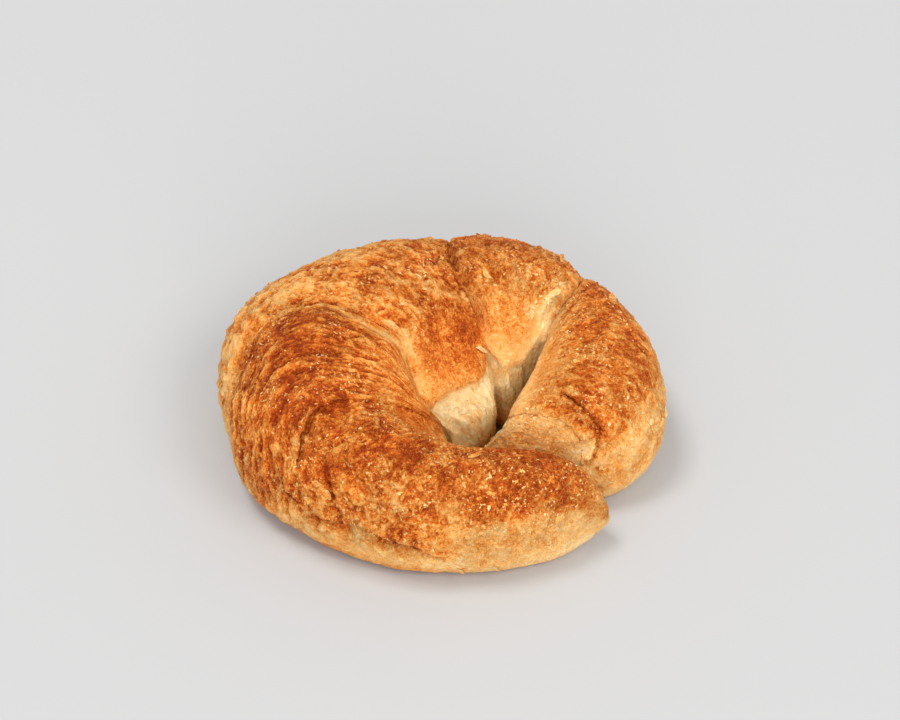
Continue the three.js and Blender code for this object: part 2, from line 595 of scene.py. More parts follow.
    def blend_turns(self, row: np.ndarray, name: str, widest: float = 0.0) -> np.ndarray:
        """One of the turns' values along the roll, blended from each turn to the next."""
        value = np.full_like(row, getattr(self.turns[0], name), dtype=float)
        for before, after in zip(self.turns, self.turns[1:]):
            change = getattr(after, name) - getattr(before, name)
            width = max(before.blend, widest)
            value += change * smooth(row, before.until - width, before.until + width)
        return value

    def puff(self, row: np.ndarray) -> np.ndarray:
        """How far each turn swells between its folds, in millimetres."""
        swell = np.zeros_like(row)
        start = 0.0
        for turn in self.turns:
            along = np.clip((row - start) / (turn.until - start), 0, 1)
            swell = np.where((row >= start), turn.puff * np.sin(math.pi * along) ** 0.7, swell)
            start = turn.until
        return swell

    def fold_relief(self, patch: Patch) -> tuple[np.ndarray, np.ndarray, np.ndarray]:
        """Lips, dips and overhangs beside the folds.

        Args:
            patch: The points.

        Returns:
            The rise of each point in millimetres, its slide along the roll as a share, and how
            much darker it is, as painted shade in the groove just under each lip.
        """
        rise = np.zeros_like(patch.row)
        slide = np.zeros_like(patch.row)
        dark = np.zeros_like(patch.row)
        grain = self.grain(3)
        ends = [stretch.start for stretch in self.stretches]
        degrees = np.degrees(patch.angle)
        for number, fold in enumerate(self.roll.folds):
            shown = smooth(degrees, fold.lowest, fold.lowest + 25)
            shown = shown * (1 - 0.8 * smooth(degrees, fold.highest, fold.highest + 20))
            around = patch.flat * np.array([0.0, 1, 1]) + np.array([number * 37.0, 0, 0])
            uneven = 1 + 0.6 * grain.layered(around, 9.0, 4, 0.6)
            past = (patch.nominal - fold.share) * fold.over.value * self.roll.length
            if fold.share not in ends:
                past = past + 1.7 * grain.layered(around + 50, 6.0, 4, 0.7)
            on_top = past > 0
            rise -= fold.valley * bell(past, fold.reach) * shown
            near = bell(past, np.where(on_top, 2.2, 1.4))
            if fold.share in ends:
                slide += 1.1 * (uneven - 1) * near * shown / self.roll.length
                continue
            lip = fold.lip * uneven * shown
            fade_out = np.exp(-np.abs(past) / np.where(on_top, 9.0, 6.0))
            rise += np.where(on_top, lip * 0.75, -lip * 0.85) * fade_out
            reach = fold.tuck * np.where(on_top, -1.0, 0.55) * near * uneven * shown
            slide += reach * fold.over.value / self.roll.length
            # Painted shade: a thin dark line in the groove just under each lip.
            dark += 0.20 * lip * uneven * bell(past + 0.3, 0.6)
        return rise, slide, dark

    def crease_relief(self, patch: Patch) -> tuple[np.ndarray, np.ndarray]:
        """The pressed and torn lines.

        Args:
            patch: The points.

        Returns:
            The rise of each point in millimetres, and how much darker it is: painted shade in the
            grooves where a crease's dark is above zero, paler crust where it is below.
        """
        rise = np.zeros_like(patch.row)
        dark = np.zeros_like(patch.row)
        spot = np.stack(
            [patch.share * self.roll.length, patch.angle * self.roll.mean_radius], axis=-1
        )
        waver = self.grain(6).layered(patch.place, 7.0, 4, 0.6)
        spot = spot + 1.3 * waver[..., None]
        for crease in self.creases:
            path = np.array(crease.path) * (self.roll.length, math.radians(self.roll.mean_radius))
            nearest = np.full(patch.row.shape, 1e3)
            side = np.zeros_like(patch.row)
            for start, end in zip(path[:-1], path[1:]):
                run = end - start
                along = np.clip((spot - start) @ run / (run @ run), 0, 1)
                away = spot - (start + along[..., None] * run)
                distance = np.linalg.norm(away, axis=-1)
                turn = run[0] * away[..., 1] - run[1] * away[..., 0]
                side = np.where(distance < nearest, np.sign(turn), side)
                nearest = np.minimum(nearest, distance)
            groove = bell(nearest, crease.width)
            rise += crease.step * side * np.exp(-nearest / 3.5) - crease.depth * groove
            # Painted shade in the groove where dark is above zero; a paler patch of crust where it is
            # below.
            dark += crease.dark * groove
        return rise, dark

    def terraces(self, flat: np.ndarray, gap: float, seed: int) -> np.ndarray:
        """Edges of thin layers that run round the roll.

        Args:
            flat: The points with the roll pulled straight.
            gap: How far apart the edges are, in millimetres.
            seed: Seed of their wander.

        Returns:
            A saw-toothed rise from -0.5 to 0.5, fading out where a layer has not lifted.
        """
        grain = self.grain(seed)
        warp = 3.6 / gap * grain.layered(flat, (17, 15, 15), 2)
        warp += 2.6 / gap * grain.layered(flat, (6, 6.5, 6.5), 3, 0.6)
        phase = flat[..., 0] / gap + warp
        tread = phase - np.floor(phase)
        saw = np.where(tread < 0.74, (tread / 0.74) ** 1.4, (1 - tread) / 0.26)
        step = np.floor(phase)
        broken = np.stack([step * 13.7, flat[..., 1], flat[..., 2]], axis=-1)
        kept = smooth(grain.layered(broken, (9, 8, 8), 2), -0.25, 0.2)
        return (saw - 0.42) * kept

    def relief(self, patch: Patch) -> tuple[np.ndarray, ...]:
        """Everything that breaks the smooth skin but the folds.

        Args:
            patch: The points.

        Returns:
            The whole rise in millimetres, the part of it that is fine, how rough the crust is,
            and how far that roughness runs in layers round the roll.
        """
        place, flat = patch.place, patch.flat
        upper = smooth(patch.lift, 5, 16)
        wander = 9 * self.grain(4).layered(place, 14.0, 2)
        rough = 1 - 0.88 * smooth(patch.from_outside + wander, 102, 138)
        rough = rough * (0.25 + 0.75 * upper)
        ridges = self.blend_turns(patch.row, "ridges") * rough
        crumple = self.blend_turns(patch.row, "crumple") * rough

        coarse = self.grain(1).layered(flat, (26, 20, 20), 3)
        lumps = self.grain(2).layered(place, 9.0, 2)
        push = [self.grain(5 + axis).layered(place, 6.0, 2) for axis in range(3)]
        pushed = place + 2.4 * np.stack(push, axis=-1)
        wrinkle = self.grain(9).creased(pushed, 4.6, 3) - 0.3
        flake = self.grain(10).layered(pushed, 5.2, 4, 0.62)
        plates = smooth(flake, 0.0, 0.04) - 0.5
        chip = self.grain(14).layered(pushed, 2.6, 3, 0.62)
        chips = smooth(chip, 0.08, 0.16)

        wavy = flat + 1.6 * np.stack(push, axis=-1)
        crests = self.grain(17).creased(wavy, (3.0, 9.0, 9.0), 3) - 0.3
        fine = 0.95 * ridges * self.terraces(flat, self.ridge_gap, 0)
        fine += 0.35 * (ridges + 0.6 * crumple) * self.terraces(flat, 0.45 * self.ridge_gap, 30)
        fine += 0.95 * ridges * crests
        fine += 0.80 * crumple * wrinkle
        fine += 0.42 * crumple * plates
        fine += 0.22 * (0.2 + crumple) * chips * rough
        fine += 0.14 * self.grain(13).layered(place, 1.7, 2) * (0.3 + rough)
        layered = np.clip(ridges / (ridges + 0.7 * crumple + 0.05), 0, 1)
        return self.puff(patch.row) + 0.7 * coarse + 0.35 * lumps + fine, fine, rough, layered

    def bare_wall(self, patch: Patch) -> tuple[np.ndarray, np.ndarray, np.ndarray]:
        """The pale wall inside the curl, which the browned turns overhang.

        Args:
            patch: The points.

        Returns:
            How bare each point is, from 0 to 1, its rise in millimetres, and how near it is to
            the edge of the browned crust, from 0 to 1.
        """
        grain = self.grain(40)
        ragged = 1.3 * grain.layered(patch.place, 8.0, 4, 0.55)
        top = np.interp(patch.share, *zip(*self.wall_top))
        under = top - patch.lift - ragged
        inside = smooth(patch.from_outside, 112, 128)
        bare = smooth(under, -0.5, 0.5) * inside
        rolled_edge = 0.9 * bell(under + 2.6, 2.2) * inside
        deep = 1 - smooth(patch.lift, 16, 6)
        facets = smooth(grain.layered(patch.flat + 9, (3.5, 8, 8), 4, 0.6), -0.04, 0.06) - 0.5
        ribs = grain.creased(patch.flat + 50, (3.0, 14, 14), 2) - 0.4
        wall = -1.6 * smooth(under, -0.6, 1.2) + (0.8 * facets + 0.7 * ribs) * bare
        return bare, rolled_edge + wall * inside * deep, smooth(under, -8.0, 0.0) * inside

    def room(self, patch: Patch, other: "Patch | None") -> np.ndarray:
        """How far each point is from the other arm, in millimetres, where the two arms pass.

        Args:
            patch: The points.
            other: Points of the other arm, or None where no arm passes.

        Returns:
            The distances, which are large where no arm passes.
        """
        gap = np.full(patch.row.shape, self.clear)
        if other is None:
            return gap
        tree = nearest_of([other.place[tuple(at)] for at in self.beside(other)[::2]])
        for at in self.beside(patch):
            gap[tuple(at)] = tree.find(patch.place[tuple(at)])[2]
        return gap

    def beside(self, patch: Patch) -> np.ndarray:
        """Row and column of each point on the lengths where the two arms pass."""
        low, high = self.passing
        return np.argwhere((patch.row < low) | (patch.row > high))

    def browning(self, patch: Patch, fine: np.ndarray, bare: np.ndarray,
                 edge: np.ndarray) -> tuple[np.ndarray, ...]:
        """How brown each point has baked.

        Args:
            patch: The points.
            fine: The fine relief, whose hollows are darker than its crests, partly as painted shade.
            bare: How bare the wall inside the curl is.
            edge: How near each point is to that wall.

        Returns:
            The browning, from 0, pale gold, to 1, dark brown, and how bare the crumb is, 0 to 1.
        """
        place, flat, lift, height = patch.place, patch.flat, patch.lift, patch.height
        grain = self.grain(20)
        broad = grain.layered(place, 22, 2)
        blotch = grain.layered(place + 40, 8, 4, 0.6)
        streak = grain.layered(flat + 90, (4.5, 18, 18), 3)
        ridges = self.blend_turns(patch.row, "ridges")
        bake = self.blend_turns(patch.row, "bake") + 0.10 * broad + 0.05 * blotch
        bake += 0.14 * ridges * streak
        wander = (5 * broad + 5 * blotch) / height
        side = self.blend_turns(patch.row + 0.05 * blotch - 0.012, "side", 0.055)
        bake -= 0.38 * side * smooth(lift / height + wander, 0.92, 0.62)
        bake -= 0.28 * smooth(lift / height + wander, 0.45, 0.12)
        bake -= 0.32 * smooth(patch.row, 0.065, 0.0)
        bake += 0.12 * smooth(patch.row, 0.525, 0.575) * smooth(patch.row, 0.62, 0.585)
        bake += 0.25 * smooth(lift + 1.2 * blotch, 2.4, 0.9)
        rim = smooth(patch.row, 0.30, 0.36) * smooth(patch.row, 0.58, 0.52)
        reach = 50 + 42 * smooth(patch.row, 0.42, 0.50)
        rim *= smooth((patch.from_outside + 10 * blotch) / reach, 1.0, 0.6)
        bake -= 0.12 * rim
        inner = smooth(patch.from_outside + 12 * broad + 6 * blotch, 92, 128)
        bake -= self.blend_turns(patch.row, "inside") * inner * (np.sin(patch.angle) > 0)
        bake -= 0.18 * edge
        stretched = smooth(patch.from_outside, 35, 80)
        for fold in self.roll.folds:
            past = np.abs(patch.nominal - fold.share) * self.roll.length
            uneven = grain.layered(place + 70, 9.0, 3)
            width = 4.5 + 2.5 * uneven
            amount = fold.pale * stretched * (0.65 + 0.9 * uneven)
            bake -= 0.46 * np.clip(amount, 0, 1) * bell(past, width)
        # Darker in the hollows of the fine relief and paler on its crests: partly the crust's own
        # browning, partly painted shade.
        bake -= 0.40 * np.clip(fine, -0.5, 0.8)
        bake = np.where(bake > 0.9, 0.9 + 0.5 * (bake - 0.9), bake)

        low = smooth(patch.from_outside, 120, 150) * smooth(lift + 2 * blotch, 22, 15)
        sole = smooth(lift, 0.6, 0.1)
        crumb = np.clip(np.maximum(bare, low), 0, 1) * (1 - sole)
        bake = np.where(sole > 0, bake + sole * (0.72 + 0.2 * blotch - bake), bake)
        # The bare crumb's tone: its own blotches, with painted shade deep inside the curl below about
        # 18 mm and along thin lines between its sheets.
        sheets = lift / 3.2 + 2.2 * blotch + 0.8 * broad
        line = bell(sheets - np.round(sheets), 0.10)
        line = line * smooth(grain.layered(place + 15, 7.0, 2), 0.0, 0.25)
        tone = -0.10 + 0.30 * np.clip(blotch, 0, 1) + 0.50 * smooth(lift, 18, 7)
        tone += 0.42 * line * smooth(patch.share, 0.47, 0.56)
        bake = bake + crumb * (tone - bake)
        return np.clip(bake, 0, 1.15), crumb

    def build(self) -> list[bpy.types.Object]:
        """Makes every stretch.

        Returns:
            Their objects, with no material yet.
        """
        patches = [self.lay_out(stretch) for stretch in self.stretches]
        others = (patches[-1], None, patches[0])
        return [
            self.make(stretch, patch, other)
            for stretch, patch, other in zip(self.stretches, patches, others)
        ]

    def make(self, stretch: Stretch, patch: Patch, other: "Patch | None") -> bpy.types.Object:
        """Makes one stretch's mesh, with its browning as attributes.

        Args:
            stretch: The stretch.
            patch: Its points.
            other: Points of the arm that it passes, or None.

        Returns:
            The piece's object.
        """
        normal = self.outward(patch)
        rise, slide, shaded = self.fold_relief(patch)
        texture, fine, rough, layered = self.relief(patch)
        pressed, dark = self.crease_relief(patch)
        bare, hollow, edge = self.bare_wall(patch)
        room = self.room(patch, other)
        total = rise + texture + pressed + hollow
        open_share = self.roll.opening(patch.row) * patch.closing
        total = np.minimum(total, self.room_taken * room) * open_share**0.5
        slide = slide * np.clip(room / 4, 0, 1)
        place = self.roll.skin(patch.row, patch.angle, slide, patch.closing)
        place = place + normal * total[..., None]
        place[..., 2] = self.settled(place[..., 2])
        for end in (0, -1):
            place[end] = place[end].mean(axis=0)
        bake, crumb = self.browning(patch, fine, bare, edge)
        # Adds the painted shade in the crease grooves and under the fold lips, and the paler crease
        # patches, to the browning.
        bake = bake + (dark + shaded) * (1 - crumb)
        self.surfaces.append(Surface(patch, place, normal, rough * (1 - crumb), bake))

        mesh, picked = self.ball(stretch)
        mesh.vertices.foreach_set("co", (place[picked] * MM).ravel())
        for layer, values in ((Layer.BAKE, bake), (Layer.CRUMB, crumb), (Layer.ROUGH, rough),
                              (Layer.LAYERED, layered)):
            attribute = mesh.attributes.new(layer.value, "FLOAT", "POINT")
            attribute.data.foreach_set("value", values[picked].astype(np.float32))
        roll_layer = mesh.attributes.new(Layer.ROLL.value, "FLOAT_VECTOR", "POINT")
        roll_layer.data.foreach_set("vector", (patch.flat[picked] * MM).astype(np.float32).ravel())
        mesh.shade_smooth()
        mesh.update()
        self.face_outward(mesh)
        return linked(stretch.name, mesh)

    def settled(self, lift: np.ndarray) -> np.ndarray:
        """Heights rounded off against the floor, so that nothing goes below it."""
        above = (lift + np.sqrt(lift**2 + self.sole_softness)) / 2 - self.sole_press
        return np.maximum(above, 0.0)

    def ball(self, stretch: Stretch) -> tuple[bpy.types.Mesh, tuple[np.ndarray, np.ndarray]]:
        """A ball with a stretch's rows and columns, ready to be shaped.

        Args:
            stretch: The stretch.

        Returns:
            The mesh, and each of its points' row and column.
        """
        cage = bmesh.new()
        bmesh.ops.create_uvsphere(
            cage, u_segments=stretch.columns, v_segments=stretch.rows, radius=1.0
        )
        mesh = meshed(stretch.name, cage)
        ball = np.empty(len(mesh.vertices) * 3)
        mesh.vertices.foreach_get("co", ball)
        ball = ball.reshape(-1, 3)
        polar = np.arccos(np.clip(ball[:, 2], -1, 1)) / math.pi * stretch.rows
        turned = -np.arctan2(ball[:, 1], ball[:, 0]) / (2 * math.pi) * stretch.columns
        return mesh, (np.rint(polar).astype(int), np.rint(turned).astype(int) % stretch.columns)

    def outward(self, patch: Patch) -> np.ndarray:
        """Unit normals of the smooth skin, pointing out of the dough."""
        along = np.gradient(patch.place, axis=0)
        around = np.roll(patch.place, -1, axis=1) - np.roll(patch.place, 1, axis=1)
        normal = np.cross(around, along)
        length = np.linalg.norm(normal, axis=-1, keepdims=True)
        normal = normal / np.maximum(length, 1e-9)
        middle = len(patch.place) // 2
        top = normal[middle, np.argmax(patch.lift[middle]), 2]
        return normal * np.sign(top)

    def face_outward(self, mesh: bpy.types.Mesh) -> None:
        """Turns the mesh's faces outwards if the deformed ball came out inside out."""
        shell = bmesh.new()
        shell.from_mesh(mesh)
        if shell.calc_volume(signed=True) < 0:
            bmesh.ops.reverse_faces(shell, faces=shell.faces)
            shell.to_mesh(mesh)
        shell.free()


@dataclass
class Sheet:
    """The node tree of a material or a group, with short ways to add and join nodes."""

    tree: bpy.types.NodeTree

    def feed(self, socket: Socket, value: object) -> None:
        """Joins another node's output to a socket, or sets the socket's own value."""
        if isinstance(value, Socket):
            self.tree.links.new(value, socket)
        else:
            socket.default_value = value

    def add(self, kind: str, inputs: dict[int | str, object] | None = None,
            **settings: object) -> bpy.types.Node:
        """Adds a node.

        Args:
            kind: The node's type.
            inputs: What each input takes, by its name or number: an output or a plain value.
            **settings: The node's own settings.

        Returns:
            The node.
        """
        node = self.tree.nodes.new(kind)
        for name, value in settings.items():
            setattr(node, name, value)
        for name, value in (inputs or {}).items():
            self.feed(node.inputs[name], value)
        return node

    def math(self, operation: str, first: object, second: object, clamp: bool = False) -> Socket:
        """A sum on two outputs or numbers, kept from 0 to 1 where it is clamped."""
        node = self.add("ShaderNodeMath", {0: first, 1: second}, operation=operation,
                        use_clamp=clamp)
        return node.outputs[0]

    def times(self, first: object, second: object) -> Socket:
        """Two outputs or numbers, multiplied."""
        return self.math("MULTIPLY", first, second)

    def plus(self, first: object, second: object) -> Socket:
        """Two outputs or numbers, added."""
        return self.math("ADD", first, second)

    def scaled(self, vector: Socket, size: Triple) -> Socket:
        """A place counted in steps that measure so many metres along each axis."""
        counts = [1 / length for length in size]
        return self.add("ShaderNodeMapping", {"Vector": vector, "Scale": counts}).outputs["Vector"]

    def noise(self, vector: Socket, size: Triple, detail: float, roughness: float = 0.55,
              twist: float = 0.0) -> Socket:
        """A noise whose bumps measure so many metres along each axis."""
        node = self.add("ShaderNodeTexNoise", {
            "Vector": self.scaled(vector, size), "Scale": 1.0, "Detail": detail,
            "Roughness": roughness, "Distortion": twist,
        })
        return node.outputs["Fac"]

    def cells(self, vector: Socket, size: Triple, torn: float) -> Socket:
        """Flat cells with torn edges, each with a chance value of its own.

        Args:
            vector: Where each point is.
            size: How wide a cell is along each axis, in metres.
            torn: How far the edges wander, in cells.

        Returns:
            The output with each cell's value, from 0 to 1.
        """
        place = self.scaled(vector, size)
        tear = self.add("ShaderNodeTexNoise",
                        {"Vector": place, "Scale": 1.6, "Detail": 4.0, "Roughness": 0.65})
        shift = self.add("ShaderNodeVectorMath", {0: tear.outputs["Color"], 1: (torn, torn, torn)},
                         operation="MULTIPLY")
        moved = self.add("ShaderNodeVectorMath", {0: place, 1: shift.outputs["Vector"]},
                         operation="ADD")
        cell = self.add("ShaderNodeTexVoronoi", {"Vector": moved.outputs["Vector"], "Scale": 1.0})
        split = self.add("ShaderNodeSeparateColor", {"Color": cell.outputs["Color"]})
        return split.outputs["Red"]

    def ramp(self, factor: Socket, stops: Stops) -> Socket:
        """A colour ramp with the given stops."""
        node = self.add("ShaderNodeValToRGB", {"Fac": factor})
        elements = node.color_ramp.elements
        while len(elements) < len(stops):
            elements.new(0.5)
        for element, (place, colour) in zip(elements, stops):
            element.position = place
            element.color = colour
        return node.outputs["Color"]

    def mix(self, factor: Socket, first: object, second: object) -> Socket:
        """Two colours mixed by a factor, each an output or a value."""
        node = self.add("ShaderNodeMix", {0: factor, 6: first, 7: second}, data_type="RGBA")
        return node.outputs[2]


def new_material(name: str) -> tuple[bpy.types.Material, Sheet, bpy.types.NodeInputs]:
    """A new material, the sheet of its nodes and the inputs of its shader."""
    material = bpy.data.materials.new(name)
    material.use_nodes = True
    tree = material.node_tree
    return material, Sheet(tree), tree.nodes["Principled BSDF"].inputs


def flaky_grain() -> bpy.types.NodeTree:
    """The fine detail of baked layers, as a shader node group.

    Returns:
        A group that takes Spot, where a point is, Roll, where it was on the straight roll, and how
        Layered and how Rough the crust is. It gives Mottle, Stains, Patches and Chips (glaze
        that has torn away), Flakes (peeled scraps), Network (thin raised edges), Flecks, Pits
        and Height.
    """
    name = "flaky_grain"
    if name in bpy.data.node_groups:
        return bpy.data.node_groups[name]
    group = bpy.data.node_groups.new(name, "ShaderNodeTree")
    outputs = ("Mottle", "Stains", "Patches", "Chips", "Flakes", "Network", "Flecks", "Pits",
               "Height")
    for names, way, kind in ((("Spot", "Roll"), "INPUT", "NodeSocketVector"),
                             (("Layered", "Rough"), "INPUT", "NodeSocketFloat"),
                             (outputs, "OUTPUT", "NodeSocketFloat")):
        for socket_name in names:
            group.interface.new_socket(socket_name, in_out=way, socket_type=kind)
    sheet = Sheet(group)
    given = sheet.add("NodeGroupInput").outputs
    spot, roll, rough = given["Spot"], given["Roll"], given["Rough"]

    def even(size: float, detail: float, roughness: float, twist: float = 0.0) -> Socket:
        """Noise with bumps of the same size every way."""
        return sheet.noise(spot, (size, size, size), detail, roughness, twist)

    def over(noise: Socket, level: float, steep: float) -> Socket:
        """Where a noise is over a level, with edges as steep as asked."""
        return sheet.math("MULTIPLY", sheet.math("SUBTRACT", noise, level), steep, clamp=True)

    def edges(noise: Socket, steep: float) -> Socket:
        """Thin lines where a noise crosses its middle."""
        away = sheet.math("ABSOLUTE", sheet.math("SUBTRACT", noise, 0.5), 0.0)
        return sheet.math("SUBTRACT", 1.0, sheet.times(away, steep), clamp=True)

    def blend(crossed: Socket, along: Socket) -> Socket:
        """The first pattern, turning to the second where the crust is in layers."""
        turned = sheet.math("SUBTRACT", along, crossed)
        return sheet.plus(crossed, sheet.times(turned, given["Layered"]))

    mottle = even(0.0008, 2.0, 0.65, 0.4)
    patches = blend(over(even(0.0050, 4.0, 0.64, 1.2), 0.48, 26.0),
                    over(sheet.noise(roll, (0.0020, 0.0048, 0.0048), 4.0, 0.64, 1.0), 0.48, 26.0))
    chips = blend(over(even(0.0014, 2.0, 0.62, 1.4), 0.51, 20.0),
                  over(sheet.noise(roll, (0.0009, 0.0019, 0.0019), 2.0, 0.62, 1.2), 0.51, 20.0))
    stains = over(even(0.0055, 6.0, 0.66, 0.5), 0.42, 5.0)
    clusters = sheet.times(over(even(0.011, 3.0, 0.6), 0.36, 5.0), rough)
    broad = blend(sheet.cells(spot, (0.0026, 0.0026, 0.0026), 2.4),
                  sheet.cells(roll, (0.0014, 0.0032, 0.0032), 2.2))
    small = blend(sheet.cells(spot, (0.0010, 0.0010, 0.0010), 1.8),
                  sheet.cells(roll, (0.0007, 0.0013, 0.0013), 1.8))
    broad_flakes = sheet.times(over(broad, 0.70, 30.0), rough)
    small_flakes = sheet.times(over(small, 0.80, 30.0), clusters)
    flakes = sheet.times(sheet.plus(broad_flakes, small_flakes), 0.7)
    network = blend(edges(even(0.0020, 4.0, 0.66, 1.0), 30.0),
                    edges(sheet.noise(roll, (0.0015, 0.0034, 0.0034), 4.0, 0.66, 1.0), 26.0))
    network = sheet.times(network, clusters)
    flecks = over(even(0.0009, 1.0, 0.5), 0.63, 14.0)
    flecks = sheet.times(flecks, over(even(0.009, 2.0, 0.5), 0.46, 7.0))
    flecks = sheet.times(flecks, rough)
    pits = sheet.math("SUBTRACT", 0.36, even(0.0016, 3.0, 0.6))
    pits = sheet.math("MULTIPLY", pits, 12.0, clamp=True)
    height = mottle
    for part, weight in ((flakes, 0.5), (network, 0.6), (small, 0.25), (patches, 0.30),
                         (chips, 0.35)):
        height = sheet.plus(height, sheet.times(part, weight))
    made = (mottle, stains, patches, chips, flakes, network, flecks, pits, height)
    sheet.add("NodeGroupOutput", dict(zip(outputs, made)))
    return group


@dataclass(frozen=True)
class CrustFinish:
    """Egg-washed crust: cream where bare, then gold, orange and brown as it bakes."""

    name: str = "baked_crust"
    stops: Stops = (
        (0.00, linear(252, 214, 152)),
        (0.22, linear(248, 193, 120)),
        (0.42, linear(240, 170, 90)),
        (0.62, linear(222, 131, 48)),
        (0.80, linear(190, 86, 17)),
        (1.00, linear(134, 43, 3)),
    )
    # The bare crumb from cream to brown; its darker stops also take the painted shade deep inside the
    # curl and along the lines between its sheets.
    crumb: Stops = (
        (0.00, linear(255, 233, 180)),
        (0.30, linear(255, 208, 134)),
        (0.60, linear(236, 156, 76)),
        (1.00, linear(150, 76, 24)),
    )
    fleck: Colour = linear(255, 224, 150)
    weights: tuple[tuple[str, float, float], ...] = (
        ("Mottle", 0.5, 0.60), ("Stains", 0.4, 0.08), ("Patches", 0.42, -0.13),
        ("Chips", 0.32, -0.18), ("Flakes", 0.0, -0.10), ("Network", 0.0, -0.36),
        ("Pits", 0.0, 0.14),
    )
    crumb_weights: tuple[tuple[str, float], ...] = (
        ("Stains", 0.18), ("Pits", 0.50), ("Chips", 0.10), ("Patches", 0.12),
    )
    fleck_strength: float = 0.8
    bump: float = 0.0006
    bump_strength: float = 0.9
    gloss: float = 0.12

    def make(self) -> bpy.types.Material:
        """The material, built from its nodes."""
        material, sheet, shader = new_material(self.name)
        layers = {layer: sheet.add("ShaderNodeAttribute", attribute_name=layer.value).outputs
                  for layer in Layer}
        baked, crumb = layers[Layer.BAKE]["Fac"], layers[Layer.CRUMB]["Fac"]
        grain = sheet.add("ShaderNodeGroup", {
            "Spot": sheet.add("ShaderNodeTexCoord").outputs["Object"],
            "Roll": layers[Layer.ROLL]["Vector"],
            "Layered": layers[Layer.LAYERED]["Fac"],
            "Rough": layers[Layer.ROUGH]["Fac"],
        }, node_tree=flaky_grain()).outputs
        # The bake attribute holds the browning and the painted shade; the grain adds the crust's own
        # mottling, patches and pits.
        browning_and_shade = baked
        for output, middle, weight in self.weights:
            part = sheet.math("SUBTRACT", grain[output], middle)
            browning_and_shade = sheet.plus(browning_and_shade, sheet.times(part, weight))
        crust = sheet.ramp(browning_and_shade, self.stops)
        crust = sheet.mix(sheet.times(grain["Flecks"], self.fleck_strength), crust, self.fleck)
        tone = baked
        for output, weight in self.crumb_weights:
            tone = sheet.plus(tone, sheet.times(grain[output], weight))
        bare = sheet.ramp(tone, self.crumb)
        rough = sheet.plus(sheet.times(grain["Mottle"], 0.25), 0.42)
        bump = sheet.add("ShaderNodeBump", {"Height": grain["Height"], "Distance": self.bump,
                                            "Strength": self.bump_strength})
        for name, value in (("Base Color", sheet.mix(crumb, crust, bare)),
                            ("Roughness", sheet.plus(rough, sheet.times(crumb, 0.3))),
                            ("Normal", bump.outputs["Normal"]),
                            ("Specular IOR Level", self.gloss)):
            sheet.feed(shader[name], value)
        return material


@dataclass
class Studio:
    """The pale floor, the soft lights and the camera."""

    floor_size: float = 6.0
    elevation: float = 46.0
    distance: float = 0.95
    aim: Triple = (0.0031, 0.036, 0.0)
    lens: float = 115.1
    sensor: float = 36.0
    floor_tone: float = 0.455
    floor_unevenness: float = 0.004
    lamps: tuple[tuple[str, Triple, float, float], ...] = (
        ("key", (-1.0, 0.2, 3.2), 1.0, 56.0),
        ("fill", (0.2, -3.2, 1.2), 2.4, 76.0),
        ("side", (1.9, -1.5, 2.9), 1.6, 48.0),
    )
    sky: float = 0.72

    def floor(self) -> None:
        """A plain floor with a faint unevenness in its tone."""
        flat = bmesh.new()
        bmesh.ops.create_grid(flat, x_segments=1, y_segments=1, size=self.floor_size / 2)
        piece = linked("floor", meshed("floor", flat))
        material, sheet, shader = new_material("floor")
        source = sheet.add("ShaderNodeTexCoord").outputs["Object"]
        light = self.floor_tone + self.floor_unevenness
        dark = self.floor_tone - self.floor_unevenness
        shade = sheet.mix(sheet.noise(source, (0.3, 0.3, 0.3), 2.0),
                          (dark, dark, dark, 1), (light, light, light, 1))
        for name, value in (("Base Color", shade), ("Roughness", 0.9),
                            ("Specular IOR Level", 0.0)):
            sheet.feed(shader[name], value)
        piece.data.materials.append(material)

    def lights(self) -> None:
        """A key from the upper left, fills from the front and right, and soft light all round."""
        for name, place, size, power in self.lamps:
            lamp = bpy.data.lights.new(name, "AREA")
            lamp.size = size
            lamp.energy = power
            piece = linked(name, lamp)
            piece.location = place
            piece.rotation_euler = (-Vector(place)).to_track_quat("-Z", "Y").to_euler()
        world = bpy.data.worlds.new("soft_light")
        world.use_nodes = True
        background = world.node_tree.nodes["Background"]
        background.inputs["Color"].default_value = (1.0, 1.0, 1.0, 1.0)
        background.inputs["Strength"].default_value = self.sky
        bpy.context.scene.world = world

    def camera(self) -> None:
        """The camera, looking along +Y and down at the croissant."""
        data = bpy.data.cameras.new("camera")
        data.lens = self.lens
        data.sensor_width = self.sensor
        piece = linked("camera", data)
        tilt = math.radians(self.elevation)
        back = Vector((0.0, -math.cos(tilt), math.sin(tilt)))
        piece.location = Vector(self.aim) + back * self.distance
        piece.rotation_euler = (-back).to_track_quat("-Z", "Y").to_euler()
        bpy.context.scene.camera = piece

    def build(self) -> None:
        """Makes the floor, the lights and the camera."""
        self.floor()
        self.lights()
        self.camera()
        bpy.context.scene.view_settings.view_transform = "Standard"


@dataclass(frozen=True)
class Flake:
    """A lifted flake: its place on the roll, half its width, how it lies and how much paler it is."""

    share: float
    degrees: float
    radius: float
    long: float = 1.6
    tilt: float = 30.0
    paler: float = 0.2


